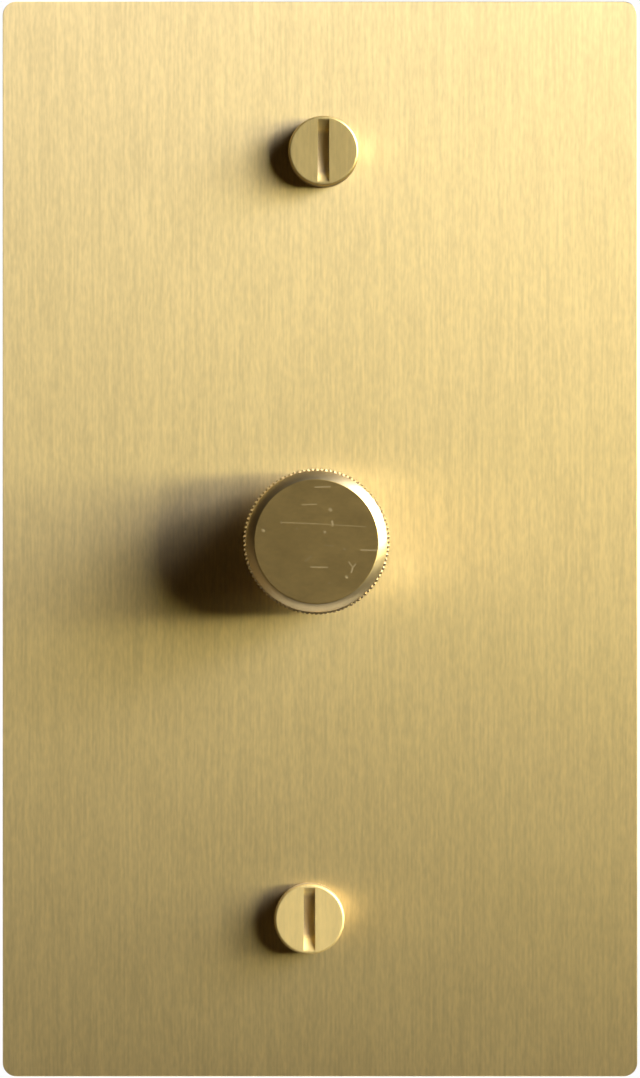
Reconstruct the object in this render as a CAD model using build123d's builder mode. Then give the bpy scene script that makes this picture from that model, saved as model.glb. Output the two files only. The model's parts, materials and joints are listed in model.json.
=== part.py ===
from build123d import *
import os
from math import cos, pi, radians, sin, tan

# Rotary dimmer switch: a brass wall plate, its push and turn control, and the dimmer module behind it.
# The knob's axis is Y, which runs into the wall. The back of the brass plate is the plane Y = 0, so a
# depth is a Y value: negative towards the room, positive into the wall box. X is to the right, Z up.
# All sizes are in millimetres.

# Brass face plate, milled thinner behind the module and hung a little off the knob's axis
plate_width = 69.2
plate_height = 117.2
plate_thickness = 3.0
plate_corner_radius = 1.5
plate_edge_break = 0.2
plate_offset_x = 0.38
plate_offset_z = 0.27
pocket_depth = 1.0
pocket_margin = 1.6
pocket_corner_radius = 6.0

# Wall screws, at the lug spacing of a wall box that stands a little high and out of plumb
screw_spacing = 83.34
box_lean = 1.05
box_rise = 0.7
screw_head_diameter = 7.6
screw_head_height = 2.6
screw_head_edge = 0.3
screw_thread_diameter = 3.5
screw_neck_diameter = 2.8
screw_neck_length = 4.0
screw_length = 18.0
coin_slot_width = 1.25
coin_slot_length = 6.8
coin_slot_depth = 1.3
screw_hole_clearance = 0.35
screw_hole_slack = 0.8

# Knob, turned and diamond knurled
knob_diameter = 15.6
knob_face_diameter = 13.24
knob_projection = 12.2
knob_gap = 2.0
knob_back_chamfer = 0.4
knurl_depth = 0.4
knurl_count = 50
knurl_angle = 30
knob_recess_clearance = 0.4
knob_grub_diameter = 3.0
knob_grub_socket = 1.5

# Spindle and the bush that carries it
spindle_diameter = 6.0
spindle_flat_depth = 1.5
spindle_end_chamfer = 0.3
spindle_in_knob = 4.6
running_clearance = 0.08
seat_clearance = 0.03
push_travel = 1.5
stop_clearance = 0.4
clip_thickness = 0.6
clip_diameter = 8.8
clip_groove_diameter = 4.6
clip_end_gap = 0.2
clip_grip = 0.9
clip_relief_diameter = 1.2
spindle_tip_length = 0.6
bush_diameter = 7.0
bush_overhang = 0.5
bush_hole_clearance = 0.2
flange_diameter = 14.0
flange_thickness = 1.5
nut_across_flats = 10.0
nut_thickness = 2.2
washer_diameter = 11.2
washer_thickness = 0.5
washer_tooth_count = 12
washer_tooth_width = 1.1

# Heat sink plate and moulded case
module_width = 44.0
module_height = 56.0
module_corner_radius = 2.0
heat_sink_thickness = 1.5
case_depth = 25.5
case_wall = 1.8
case_boss_diameter = 5.2
case_boss_inset = 3.7
case_rib = 1.2
case_screw_diameter = 2.0
case_screw_head = 4.0
case_screw_length = 9.0
vent_width = 1.2
vent_length = 9.0
vent_pitch = 4.2
vent_count = 6
access_hole_margin = 0.3

# Potentiometer
pot_diameter = 17.0
pot_depth = 7.0
pot_wall = 0.8
rotor_diameter = 13.8
rotor_thickness = 2.8
rotor_lug_height = 0.5
rotor_lug_half_angle = 12
turn_limit = 135
stop_margin_angle = 3
track_thickness = 1.2
track_pin_diameter = 0.9
track_pin_inset = 1.0
track_pin_angle = 30
wiper_thickness = 0.3
running_gap = 0.3

# Circuit board
board_thickness = 1.6
board_clearance = 0.3
board_hole_diameter = 10.4
lead_hole_clearance = 0.1

# Push switch behind the spindle
switch_width = 20.0
switch_height = 18.0
switch_depth = 7.8
switch_wall = 1.4
plunger_diameter = 5.6
plunger_flange = 9.0
plunger_flange_thickness = 1.5
plunger_guide_clearance = 0.2
plunger_guide_length = 1.0
contact_strip_thickness = 0.5
contact_strip_height = 7.6
contact_offset = 6.0
contact_pip_diameter = 2.0
contact_strip_margin = 0.5
contact_pip_height = 0.6
fixed_contact_diameter = 3.2
contact_gap = 0.3
spring_wire = 0.5
spring_diameter = 4.9
spring_turns = 4
spring_end_gap = 0.12

# Terminals
terminal_pitch = 11.0
terminal_width = 7.0
terminal_height = 8.0
terminal_depth = 10.8
terminal_edge_gap = 0.5
terminal_corner_radius = 0.6
wire_bore_diameter = 3.2
wire_bore_height = 6.4
wire_entry_clearance = 0.5
clamp_screw_diameter = 3.0
clamp_screw_head = 4.6
clamp_screw_head_height = 1.7
clamp_screw_slot = 0.7
terminal_pin_diameter = 1.4
earth_diameter = 7.5
earth_length = 9.0
earth_bore_diameter = 3.4
earth_bore_height = 4.4
earth_gap = 0.5
earth_spigot_diameter = 4.0
earth_spigot_length = 1.2
earth_screw_diameter = 3.5
earth_screw_head = 5.6
earth_screw_head_height = 1.9

# Electrical pieces on the board
choke_x = 9.8
choke_diameter = 13.6
choke_bore = 4.0
choke_height = 8.0
winding_thickness = 1.0
winding_turns = 24
film_capacitor_size = (16.0, 6.0, 10.0)
film_capacitor_place = (-9.5, 13.3)
timing_capacitor_size = (8.0, 3.0, 7.0)
timing_capacitor_place = (-11.0, 20.2)
fuse_diameter = 4.0
fuse_length = 12.0
fuse_cap_length = 2.4
fuse_cap_wall = 0.24
axial_block_z = -0.2
axial_column_pitch = 4.2
axial_row_pitch = 9.6
axial_lead_span = 8.0
axial_lead_diameter = 0.6
axial_stand_off = 0.2
resistor_diameter = 2.3
resistor_length = 5.6
diac_diameter = 1.9
diac_length = 3.8
trimmer_size = 6.6
trimmer_height = 4.4
trimmer_rotor_diameter = 4.4
trimmer_rotor_proud = 0.8
trimmer_rotor_depth = 1.6
trimmer_slot_width = 0.7
trimmer_slot_length = 3.3
triac_width = 10.0
triac_body_height = 9.0
triac_tab_height = 6.2
triac_tab_thickness = 1.3
triac_body_thickness = 4.4
triac_gap_above_pot = 1.4
triac_leg_x = 0.8
triac_leg_pitch = 2.54
triac_leg_width = 0.8
triac_leg_thickness = 0.5
triac_hole_diameter = 3.8
rivet_diameter = 3.4
rivet_head_diameter = 6.0
rivet_head_height = 0.8

# Depths, from the room into the wall
plate_front = -plate_thickness
knob_front = plate_front - knob_projection
knob_back = plate_front - knob_gap
pocket_floor = -pocket_depth
heat_sink_back = pocket_floor + heat_sink_thickness
flange_back = heat_sink_back + flange_thickness
board_front = flange_back + pot_depth
board_back = board_front + board_thickness
case_back = heat_sink_back + case_depth
washer_front = plate_front - washer_thickness
nut_front = washer_front - nut_thickness
bush_front = nut_front - bush_overhang
knob_recess_floor = bush_front - push_travel - stop_clearance
spindle_front = knob_recess_floor - spindle_in_knob
clip_front = board_front + clip_end_gap
clip_back = clip_front + clip_thickness
spindle_back = clip_back + spindle_tip_length
plunger_front = spindle_back + running_gap
cover_counterbore_floor = clip_back + push_travel + stop_clearance
cover_back = cover_counterbore_floor + plunger_guide_length
plunger_flange_front = cover_back + running_gap
plunger_flange_back = plunger_flange_front + plunger_flange_thickness
strip_back = plunger_flange_back + contact_strip_thickness
pip_back = strip_back + contact_pip_height
fixed_contact_front = pip_back + push_travel + contact_gap
switch_back = cover_back + switch_depth
switch_floor = switch_back - switch_wall
rotor_front = flange_back + pot_wall + running_gap
rotor_back = rotor_front + rotor_thickness
track_front = board_front - track_thickness
terminal_back = board_back + terminal_depth
wire_bore_depth = board_back + wire_bore_height

# Places across the plate
screw_x = screw_spacing / 2 * sin(radians(box_lean))
screw_rise = screw_spacing / 2 * cos(radians(box_lean))
upper_screw_z = box_rise + screw_rise
lower_screw_z = box_rise - screw_rise
spindle_radius = spindle_diameter / 2
spindle_flat_z = -(spindle_radius - spindle_flat_depth)
nut_corner_radius = nut_across_flats / 2 / cos(pi / 6)
knob_recess_radius = nut_corner_radius + knob_recess_clearance
pot_inner_radius = pot_diameter / 2 - pot_wall
case_boss_x = module_width / 2 - case_boss_inset
case_boss_z = module_height / 2 - case_boss_inset
inner_width = module_width - 2 * case_wall
inner_height = module_height - 2 * case_wall
board_width = inner_width - 2 * board_clearance
board_height = inner_height - 2 * board_clearance
side_bay_x = (switch_width + inner_width) / 4
trimmer_x = side_bay_x
choke_z = (switch_height + inner_height) / 4
terminal_z = -(inner_height / 2 - terminal_edge_gap - terminal_height / 2)
terminal_places = [(-terminal_pitch, terminal_z), (0, terminal_z), (terminal_pitch, terminal_z)]
barrier_places = [-terminal_pitch / 2, terminal_pitch / 2]
barrier_top = terminal_z + terminal_height / 2 + case_rib
fuse_z = (barrier_top - switch_height / 2) / 2
earth_z = module_height / 2 + earth_gap + earth_diameter / 2
triac_z = pot_diameter / 2 + triac_gap_above_pot + triac_width / 2
triac_body_right = triac_leg_x - 2 * triac_leg_thickness
triac_tab_left = triac_body_right - triac_body_height - triac_tab_height
triac_hole_x = triac_tab_left + triac_tab_height / 2
track_pin_reach = pot_inner_radius - track_pin_inset
track_pin_places = [
    (track_pin_reach * cos(radians(angle)), track_pin_reach * sin(radians(angle)))
    for angle in (track_pin_angle - 180, -90, -track_pin_angle)
]
axial_places = [
    (-side_bay_x + column * axial_column_pitch / 2, axial_block_z + row * axial_row_pitch / 2)
    for row in (1, -1)
    for column in (-1, 1)
]
into_wall = (0, 1, 0)


def wall_plane(depth):
    """The plane parallel to the wall at this depth, seen from the room: x to the right, y up."""
    return Plane.XZ.offset(-depth)


def axis_at(x, z):
    """A line into the wall at this place on the plate."""
    return Axis((x, 0, z), into_wall)


def export(piece, name):
    piece.part.label = name
    export_step(piece.part, f"parts/{name}.step")


def slab(front, back):
    """Extrude the pending sketch, drawn at its back, forward to its front."""
    extrude(amount=back - front)


def d_section(clearance):
    """The spindle's section, larger all round by a clearance, with its flat facing down."""
    Circle(spindle_radius + clearance)
    below_flat = (Align.CENTER, Align.MAX)
    with Locations((0, spindle_flat_z - clearance)):
        Rectangle(2 * spindle_diameter, spindle_diameter, align=below_flat, mode=Mode.SUBTRACT)


def ring_sector(inner_radius, outer_radius, middle_angle, half_angle):
    """A sector of a ring about the knob's axis, its angle measured from the right."""
    start, sweep_angle = middle_angle - half_angle, 2 * half_angle
    with BuildSketch() as sector:
        with BuildLine():
            outer = CenterArc((0, 0), outer_radius, start, sweep_angle)
            inner = CenterArc((0, 0), inner_radius, start, sweep_angle)
            Line(inner @ 0, outer @ 0)
            Line(inner @ 1, outer @ 1)
        make_face()
    return sector.sketch


def knurled_bar(crest_radius, root_radius, front, back, count, angle):
    """A bar about the Y axis covered in diamonds, whose ridges cross at twice this angle."""
    half_pitch = pi * crest_radius / count
    rows = round((back - front) * tan(radians(angle)) / half_pitch)
    steps = 2 * count

    def corner(row, step):
        is_peak = 0 < row < rows and (row + step) % 2 == 0
        radius = crest_radius if is_peak else root_radius
        turn = 2 * pi * step / steps
        return (radius * cos(turn), front + (back - front) * row / rows, radius * sin(turn))

    faces = []
    for row in range(rows):
        for step in range(steps):
            here, along = corner(row, step), corner(row, (step + 1) % steps)
            below, across = corner(row + 1, step), corner(row + 1, (step + 1) % steps)
            if (row + step) % 2 == 0:
                halves = [(here, along, below), (across, below, along)]
            else:
                halves = [(here, along, across), (here, across, below)]
            faces += [Face(Wire.make_polygon(half, close=True)) for half in halves]
    for row in (0, rows):
        ring = [corner(row, step) for step in range(steps)]
        faces.append(Face(Wire.make_polygon(ring, close=True)))
    return Solid(Shell(faces))


def wall_screw(x, z):
    """Cheese head screw with a closed coin slot and a waisted neck under the head."""
    head_front = plate_front - screw_head_height
    head_radius = screw_head_diameter / 2
    neck_back = plate_front + screw_neck_length
    tip = plate_front + screw_length
    tip_chamfer = screw_thread_diameter / 8
    slot_radius = (coin_slot_length**2 / 4 + coin_slot_depth**2) / (2 * coin_slot_depth)
    with BuildPart() as screw:
        with BuildSketch(wall_plane(plate_front)):
            with Locations((x, z)):
                Circle(head_radius)
        slab(head_front, plate_front)
        fillet(screw.edges().filter_by(GeomType.CIRCLE).sort_by(Axis.Y)[0], screw_head_edge)
        with BuildSketch(wall_plane(neck_back)):
            with Locations((x, z)):
                Circle(screw_neck_diameter / 2)
        slab(plate_front, neck_back)
        with BuildSketch(wall_plane(tip)):
            with Locations((x, z)):
                Circle(screw_thread_diameter / 2)
        slab(neck_back, tip)
        chamfer(screw.edges().filter_by(GeomType.CIRCLE).sort_by(Axis.Y)[-1], tip_chamfer)
        with BuildSketch(Plane.YZ.offset(x - coin_slot_width / 2)):
            with Locations((head_front + coin_slot_depth - slot_radius, z)):
                Circle(slot_radius)
        extrude(amount=coin_slot_width, mode=Mode.SUBTRACT)
    return screw


def clamp_screw(x, z, tip, head_base, diameter, head_diameter, head_height):
    """Slotted screw driven from the back of the module."""
    with BuildPart() as screw:
        with BuildSketch(wall_plane(head_base)):
            with Locations((x, z)):
                Circle(diameter / 2)
        slab(tip, head_base)
        with BuildSketch(wall_plane(head_base + head_height)):
            with Locations((x, z)):
                Circle(head_diameter / 2)
        slab(head_base, head_base + head_height)
        with BuildSketch(wall_plane(head_base + head_height)):
            with Locations((x, z)):
                Rectangle(2 * head_diameter, clamp_screw_slot)
        extrude(amount=head_height / 2, mode=Mode.SUBTRACT)
    return screw


def wire_terminal(x, z):
    """Brass pillar with a wire bore from below, a screw hole from behind and a solder pin."""
    with BuildPart() as terminal:
        with BuildSketch(wall_plane(terminal_back)):
            with Locations((x, z)):
                RectangleRounded(terminal_width, terminal_height, terminal_corner_radius)
        slab(board_back, terminal_back)
        with BuildSketch(wall_plane(board_back)):
            with Locations((x, z)):
                Circle(terminal_pin_diameter / 2)
        extrude(amount=board_thickness + terminal_pin_diameter / 2)
        with BuildSketch(Plane.XY.offset(z - terminal_height / 2)):
            with Locations((x, wire_bore_depth)):
                Circle(wire_bore_diameter / 2)
        extrude(amount=terminal_height, mode=Mode.SUBTRACT)
        with BuildSketch(wall_plane(terminal_back)):
            with Locations((x, z)):
                Circle(clamp_screw_diameter / 2 + seat_clearance)
        extrude(amount=terminal_back - wire_bore_depth, mode=Mode.SUBTRACT)
    return terminal


def axial_part(x, z, diameter, length):
    """A barrel body on a lead that is bent down into the board at both ends."""
    lead_radius = axial_lead_diameter / 2
    level = board_back + axial_stand_off + diameter / 2
    bottom, top = z - axial_lead_span / 2, z + axial_lead_span / 2
    shoulder = min(diameter, length) / 5
    with BuildPart() as axial:
        with BuildSketch(Plane.YZ.offset(x)):
            with BuildLine():
                Polyline(
                    (level, z - length / 2),
                    (level + diameter / 2 - shoulder, z - length / 2),
                    (level + diameter / 2, z - length / 2 + shoulder),
                    (level + diameter / 2, z + length / 2 - shoulder),
                    (level + diameter / 2 - shoulder, z + length / 2),
                    (level, z + length / 2),
                    close=True,
                )
            make_face()
        revolve(axis=Axis((x, level, z), (0, 0, 1)))
        with BuildLine() as lead:
            FilletPolyline(
                (x, board_front, bottom), (x, level, bottom), (x, level, top), (x, board_front, top),
                radius=2 * lead_radius,
            )
        with BuildSketch(wall_plane(board_front)):
            with Locations((x, bottom)):
                Circle(lead_radius)
        sweep(path=lead.line)
    return axial


os.makedirs("parts", exist_ok=True)

# Face plate: pocket for the module, hole for the bush, slots for the wall screws
screw_slot_width = screw_thread_diameter + 2 * screw_hole_clearance
screw_slot_length = screw_slot_width + 2 * screw_hole_slack
pocket_half_height = earth_z + earth_diameter / 2 + pocket_margin / 2
with BuildPart() as face_plate:
    with BuildSketch(wall_plane(0)):
        with Locations((plate_offset_x, plate_offset_z)):
            RectangleRounded(plate_width, plate_height, plate_corner_radius)
    slab(plate_front, 0)
    chamfer(face_plate.faces().sort_by(Axis.Y)[0].edges(), plate_edge_break)
    with BuildSketch(wall_plane(0)):
        RectangleRounded(module_width + 2 * pocket_margin, 2 * pocket_half_height, pocket_corner_radius)
    extrude(amount=pocket_depth, mode=Mode.SUBTRACT)
    with BuildSketch(wall_plane(0)):
        Circle(bush_diameter / 2 + bush_hole_clearance)
        with Locations((0, upper_screw_z), (0, lower_screw_z)):
            SlotOverall(screw_slot_length, screw_slot_width)
    extrude(amount=plate_thickness, mode=Mode.SUBTRACT)
    with BuildSketch(wall_plane(pocket_floor)):
        with Locations((0, earth_z)):
            Circle(earth_spigot_diameter / 2 + seat_clearance)
    extrude(amount=earth_spigot_length, mode=Mode.SUBTRACT)
export(face_plate, "face_plate")

upper_screw = wall_screw(screw_x, upper_screw_z)
export(upper_screw, "upper_screw")
lower_screw = wall_screw(-screw_x, lower_screw_z)
export(lower_screw, "lower_screw")

# Knob: a knurled bar turned to a chamfered button with a recess for the nut behind
knob_radius = knob_diameter / 2
face_radius = knob_face_diameter / 2
bar_margin = knurl_depth
chamfer_reach = knob_radius + bar_margin - face_radius
knurl_bar = knurled_bar(
    knob_radius, knob_radius - knurl_depth, knob_front - bar_margin, knob_back + bar_margin,
    knurl_count, knurl_angle,
)
grub_depth = (knob_recess_floor + spindle_front) / 2
grub_outer_z = -(knob_radius - knurl_depth - knob_back_chamfer)
with BuildPart() as knob:
    add(knurl_bar)
    with BuildSketch(Plane.XY):
        with BuildLine():
            Polyline(
                (0, knob_front),
                (face_radius, knob_front),
                (face_radius + chamfer_reach, knob_front + chamfer_reach),
                (face_radius + chamfer_reach, knob_back - chamfer_reach / 2 - knob_back_chamfer),
                (knob_radius - knurl_depth - knob_back_chamfer, knob_back),
                (knob_recess_radius, knob_back),
                (knob_recess_radius, knob_recess_floor),
                (0, knob_recess_floor),
                close=True,
            )
        make_face()
    revolve(axis=Axis.Y, mode=Mode.INTERSECT)
    with BuildSketch(wall_plane(knob_recess_floor)):
        d_section(seat_clearance)
    extrude(amount=spindle_in_knob + seat_clearance, mode=Mode.SUBTRACT)
    with BuildSketch(Plane.XY.offset(-knob_diameter)):
        with Locations((0, grub_depth)):
            Circle(knob_grub_diameter / 2 + seat_clearance)
    extrude(amount=knob_diameter, mode=Mode.SUBTRACT)
export(knob, "knob")

with BuildPart() as knob_grub_screw:
    with BuildSketch(Plane.XY.offset(grub_outer_z)):
        with Locations((0, grub_depth)):
            Circle(knob_grub_diameter / 2)
    extrude(amount=spindle_flat_z - seat_clearance - grub_outer_z)
    with BuildSketch(Plane.XY.offset(grub_outer_z)):
        with Locations((0, grub_depth)):
            RegularPolygon(knob_grub_socket / 2, 6, major_radius=False)
    extrude(amount=knob_grub_socket, mode=Mode.SUBTRACT)
export(knob_grub_screw, "knob_grub_screw")

# Spindle, bush and what clamps the bush to the plate
with BuildPart() as spindle:
    with BuildSketch(wall_plane(spindle_back)):
        d_section(0)
    slab(spindle_front, spindle_back)
    chamfer(spindle.faces().sort_by(Axis.Y)[0].edges(), spindle_end_chamfer)
    with BuildSketch(wall_plane(clip_back + seat_clearance)):
        Circle(spindle_diameter)
        Circle(clip_groove_diameter / 2, mode=Mode.SUBTRACT)
    extrude(amount=clip_thickness + 2 * seat_clearance, mode=Mode.SUBTRACT)
export(spindle, "spindle")

clip_mouth = clip_groove_diameter - clip_grip
with BuildPart() as spindle_clip:
    with BuildSketch(wall_plane(clip_back)):
        Circle(clip_diameter / 2)
        Circle(clip_groove_diameter / 2 + seat_clearance, mode=Mode.SUBTRACT)
        with Locations((0, clip_diameter / 2)):
            Rectangle(clip_mouth, clip_diameter, mode=Mode.SUBTRACT)
        relief_reach = clip_groove_diameter / 2 + clip_relief_diameter / 3
        with PolarLocations(relief_reach, 2, start_angle=-135, angular_range=180):
            Circle(clip_relief_diameter / 2, mode=Mode.SUBTRACT)
    slab(clip_front, clip_back)
export(spindle_clip, "spindle_clip")

with BuildPart() as threaded_bush:
    with BuildSketch(wall_plane(flange_back)):
        Circle(flange_diameter / 2)
    slab(heat_sink_back, flange_back)
    with BuildSketch(wall_plane(heat_sink_back)):
        Circle(bush_diameter / 2)
    slab(bush_front, heat_sink_back)
    chamfer(threaded_bush.edges().filter_by(GeomType.CIRCLE).sort_by(Axis.Y)[0], bush_overhang / 2)
    with BuildSketch(wall_plane(flange_back)):
        Circle(spindle_radius + running_clearance)
    extrude(amount=flange_back - bush_front, mode=Mode.SUBTRACT)
export(threaded_bush, "threaded_bush")

nut_chamfer = (nut_corner_radius - nut_across_flats / 2) / 2
with BuildPart() as bush_nut:
    with BuildSketch(wall_plane(washer_front)):
        RegularPolygon(nut_across_flats / 2, 6, major_radius=False)
    slab(nut_front, washer_front)
    with BuildSketch(Plane.XY):
        with BuildLine():
            Polyline(
                (0, nut_front),
                (nut_across_flats / 2, nut_front),
                (nut_corner_radius, nut_front + nut_chamfer),
                (nut_corner_radius, washer_front - nut_chamfer),
                (nut_across_flats / 2, washer_front),
                (0, washer_front),
                close=True,
            )
        make_face()
    revolve(axis=Axis.Y, mode=Mode.INTERSECT)
    with BuildSketch(wall_plane(washer_front)):
        Circle(bush_diameter / 2 + seat_clearance)
    extrude(amount=nut_thickness, mode=Mode.SUBTRACT)
export(bush_nut, "bush_nut")

washer_root_radius = (washer_diameter + bush_diameter) / 4
with BuildPart() as lock_washer:
    with BuildSketch(wall_plane(plate_front)):
        Circle(washer_diameter / 2)
        Circle(washer_root_radius, mode=Mode.SUBTRACT)
        with PolarLocations((washer_root_radius + bush_diameter / 2) / 2, washer_tooth_count):
            Rectangle(washer_root_radius - bush_diameter / 2 + washer_thickness, washer_tooth_width)
        Circle(bush_diameter / 2 + 3 * seat_clearance, mode=Mode.SUBTRACT)
    slab(washer_front, plate_front)
export(lock_washer, "lock_washer")

# Heat sink plate, with countersinks for the case screws
case_screw_clearance = seat_clearance
with BuildPart() as heat_sink_plate:
    with BuildSketch(wall_plane(heat_sink_back)):
        RectangleRounded(module_width, module_height, module_corner_radius)
    slab(pocket_floor, heat_sink_back)
    with BuildSketch(wall_plane(heat_sink_back)):
        Circle(bush_diameter / 2 + seat_clearance)
        with Locations((triac_hole_x, triac_z)):
            Circle(rivet_diameter / 2 + seat_clearance)
    extrude(amount=heat_sink_thickness, mode=Mode.SUBTRACT)
    with Locations(wall_plane(pocket_floor)):
        with GridLocations(2 * case_boss_x, 2 * case_boss_z, 2, 2):
            CounterSinkHole(
                case_screw_diameter / 2 + case_screw_clearance,
                case_screw_head / 2 + case_screw_clearance,
                heat_sink_thickness,
            )
export(heat_sink_plate, "heat_sink_plate")

case_screw_radius = case_screw_diameter / 2
case_screw_tip = pocket_floor + case_screw_length
with BuildPart() as case_screws:
    for x in (-case_boss_x, case_boss_x):
        for z in (-case_boss_z, case_boss_z):
            with BuildSketch(Plane((x, 0, z))):
                with BuildLine():
                    Polyline(
                        (0, pocket_floor),
                        (case_screw_head / 2, pocket_floor),
                        (case_screw_radius, pocket_floor + case_screw_head / 2 - case_screw_radius),
                        (case_screw_radius, case_screw_tip - case_screw_radius),
                        (0, case_screw_tip),
                        close=True,
                    )
                make_face()
            revolve(axis=axis_at(x, z))
export(case_screws, "case_screws")

# Moulded case, open to the heat sink plate
case_floor = case_back - case_wall
case_inner_depth = case_floor - heat_sink_back
pilot_depth = case_screw_length - heat_sink_thickness + case_screw_diameter / 2
rib_reach = board_clearance + case_rib
with BuildPart() as module_case:
    with BuildSketch(wall_plane(case_back)):
        RectangleRounded(module_width, module_height, module_corner_radius)
    slab(heat_sink_back, case_back)
    chamfer(module_case.faces().sort_by(Axis.Y)[-1].edges(), case_wall / 3)
    with BuildSketch(wall_plane(case_floor)):
        Rectangle(inner_width, inner_height)
    extrude(amount=case_inner_depth, mode=Mode.SUBTRACT)
    with BuildSketch(wall_plane(case_floor)):
        with GridLocations(2 * case_boss_x, 2 * case_boss_z, 2, 2):
            Circle(case_boss_diameter / 2)
    extrude(amount=case_inner_depth)
    with BuildSketch(wall_plane(case_floor)):
        with GridLocations(inner_width - rib_reach, switch_height, 2, 2):
            Rectangle(rib_reach, case_rib)
        with Locations((0, inner_height / 2 - rib_reach / 2)):
            Rectangle(case_rib, rib_reach)
        with Locations(*[(x, -inner_height / 2) for x in barrier_places]):
            Rectangle(case_rib, barrier_top + inner_height / 2, align=(Align.CENTER, Align.MIN))
    extrude(amount=case_floor - board_back)
    with BuildSketch(wall_plane(heat_sink_back + pilot_depth)):
        with GridLocations(2 * case_boss_x, 2 * case_boss_z, 2, 2):
            Circle(case_screw_diameter / 2 + case_screw_clearance)
    extrude(amount=pilot_depth, mode=Mode.SUBTRACT)
    with BuildSketch(wall_plane(case_back)):
        with Locations(*terminal_places):
            Circle(clamp_screw_head / 2 + access_hole_margin)
        with Locations((trimmer_x, 0)):
            Circle(trimmer_rotor_diameter / 2 - access_hole_margin)
        with Locations((0, choke_z)):
            with GridLocations(vent_pitch, 1, vent_count, 1):
                SlotOverall(vent_length, vent_width, rotation=90)
    extrude(amount=case_wall, mode=Mode.SUBTRACT)
    with BuildSketch(Plane.XY.offset(-module_height / 2)):
        with Locations(*[(x, wire_bore_depth) for x, z in terminal_places]):
            Circle(wire_bore_diameter / 2 + wire_entry_clearance)
    extrude(amount=case_wall, mode=Mode.SUBTRACT)
    with BuildSketch(Plane.XY.offset(module_height / 2 - case_wall)):
        with Locations((0, (board_back + case_floor) / 2)):
            with GridLocations(vent_pitch, 1, vent_count, 1):
                SlotOverall(vent_length, vent_width, rotation=90)
    extrude(amount=case_wall, mode=Mode.SUBTRACT)
export(module_case, "module_case")

# Potentiometer: housing, track, rotor with its lug, and the wiper on the rotor
stop_half_angle = 180 - turn_limit - rotor_lug_half_angle - stop_margin_angle
stop_inner_radius = rotor_diameter / 2 + running_gap / 2
with BuildPart() as pot_housing:
    with BuildSketch(wall_plane(board_front)):
        Circle(pot_diameter / 2)
    slab(flange_back, board_front)
    with BuildSketch(wall_plane(board_front)):
        Circle(pot_inner_radius)
    extrude(amount=pot_depth - pot_wall, mode=Mode.SUBTRACT)
    with BuildSketch(wall_plane(rotor_back)):
        add(ring_sector(stop_inner_radius, pot_inner_radius + pot_wall / 2, -90, stop_half_angle))
    slab(flange_back + pot_wall / 2, rotor_back)
    with BuildSketch(wall_plane(flange_back + pot_wall)):
        Circle(spindle_radius + running_gap)
    extrude(amount=pot_wall, mode=Mode.SUBTRACT)
export(pot_housing, "pot_housing")

with BuildPart() as wiper_rotor:
    with BuildSketch(wall_plane(rotor_back)):
        Circle(rotor_diameter / 2)
    slab(rotor_front, rotor_back)
    with BuildSketch(wall_plane(rotor_back)):
        lug_radius = rotor_diameter / 2 + rotor_lug_height
        add(ring_sector(rotor_diameter / 4, lug_radius, 90, rotor_lug_half_angle))
    slab(rotor_front, rotor_back)
    with BuildSketch(wall_plane(rotor_back)):
        d_section(running_clearance)
    extrude(amount=rotor_thickness, mode=Mode.SUBTRACT)
export(wiper_rotor, "wiper_rotor")

wiper_inner = spindle_radius + 2 * running_gap
wiper_outer = rotor_diameter / 2 - 4 * wiper_thickness
wiper_arm_width = 5 * wiper_thickness
wiper_pip_radius = 2 * wiper_thickness
with BuildPart() as wiper_contact:
    with BuildSketch(wall_plane(rotor_back + wiper_thickness)):
        Circle((wiper_inner + wiper_outer) / 2)
        Circle(wiper_inner, mode=Mode.SUBTRACT)
        with Locations(((wiper_inner + wiper_outer) / 2, 0)):
            Rectangle(wiper_outer - wiper_inner, wiper_arm_width)
    slab(rotor_back, rotor_back + wiper_thickness)
    with BuildSketch(wall_plane(track_front - running_gap)):
        with Locations((wiper_outer - wiper_pip_radius, 0)):
            Circle(wiper_pip_radius)
    slab(rotor_back + wiper_thickness, track_front - running_gap)
export(wiper_contact, "wiper_contact")

track_pin_radius = track_pin_diameter / 2
with BuildPart() as resistive_track:
    with BuildSketch(wall_plane(board_front)):
        Circle(pot_inner_radius - seat_clearance)
        Circle(spindle_radius + 2 * running_gap, mode=Mode.SUBTRACT)
    slab(track_front, board_front)
    with BuildSketch(wall_plane(board_back)):
        with Locations(*track_pin_places):
            Circle(track_pin_radius)
    slab(board_front, board_back)
export(resistive_track, "resistive_track")

# Circuit board, with a hole for every pin and lead that goes through it
notch_x = case_boss_x - case_boss_diameter / 2 - board_clearance
notch_z = case_boss_z - case_boss_diameter / 2 - board_clearance
with BuildPart() as circuit_board:
    with BuildSketch(wall_plane(board_back)):
        Rectangle(board_width, board_height)
        with GridLocations(board_width, board_height, 2, 2):
            Rectangle(board_width - 2 * notch_x, board_height - 2 * notch_z, mode=Mode.SUBTRACT)
        Circle(board_hole_diameter / 2, mode=Mode.SUBTRACT)
        with Locations(*track_pin_places):
            Circle(track_pin_radius + lead_hole_clearance, mode=Mode.SUBTRACT)
        with Locations(*terminal_places):
            Circle(terminal_pin_diameter / 2 + lead_hole_clearance, mode=Mode.SUBTRACT)
        for place in axial_places:
            with Locations(place):
                with GridLocations(1, axial_lead_span, 1, 2):
                    Circle(axial_lead_diameter / 2 + lead_hole_clearance, mode=Mode.SUBTRACT)
        with Locations((triac_leg_x, triac_z)):
            with GridLocations(1, triac_leg_pitch, 1, 3):
                Rectangle(
                    triac_leg_thickness + 2 * lead_hole_clearance,
                    triac_leg_width + 2 * lead_hole_clearance,
                    mode=Mode.SUBTRACT,
                )
    slab(board_front, board_back)
export(circuit_board, "circuit_board")

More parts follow.
